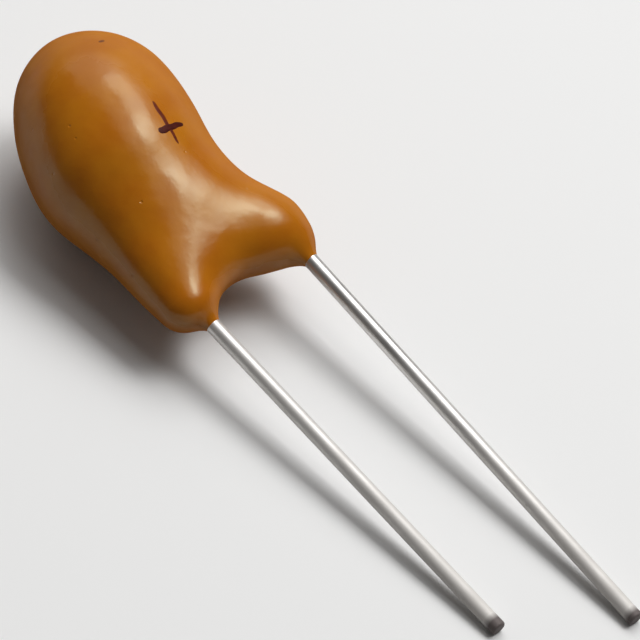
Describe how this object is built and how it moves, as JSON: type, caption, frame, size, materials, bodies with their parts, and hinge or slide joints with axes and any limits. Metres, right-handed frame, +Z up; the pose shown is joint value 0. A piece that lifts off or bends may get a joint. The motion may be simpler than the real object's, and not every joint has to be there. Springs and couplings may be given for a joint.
{
  "type": "tantalum capacitor",
  "caption": "Dipped tantalum capacitor: a pear-shaped orange epoxy body with two straight tinned wire leads, lying on its side.",
  "frame": {"origin": "middle of the floor area under the part, at the level of the surface it lies on", "axes": "+Y from the lead tips towards the dome of the body, +X from the negative lead towards the positive lead, +Z up"},
  "size_m": [0.0082, 0.0334, 0.0072],
  "materials": {
    "epoxy": "glossy mustard-orange dipped epoxy",
    "tinned_wire": "satin tinned copper wire",
    "tantalum": "matt dark grey sintered metal powder",
    "tantalum_wire": "drawn blue-grey metal wire",
    "fluoropolymer": "waxy white plastic",
    "silver_paint": "matt silver conductive paint over graphite",
    "solder": "smooth grey solder"
  },
  "bodies": {
    "root": {"dip_coating": "epoxy", "negative_lead": "tinned_wire", "positive_lead": "tinned_wire", "anode_pellet": "tantalum", "anode_riser": "tantalum_wire", "riser_washer": "fluoropolymer", "cathode_coat": "silver_paint", "solder_fillet": "solder"}
  },
  "joints": []
}
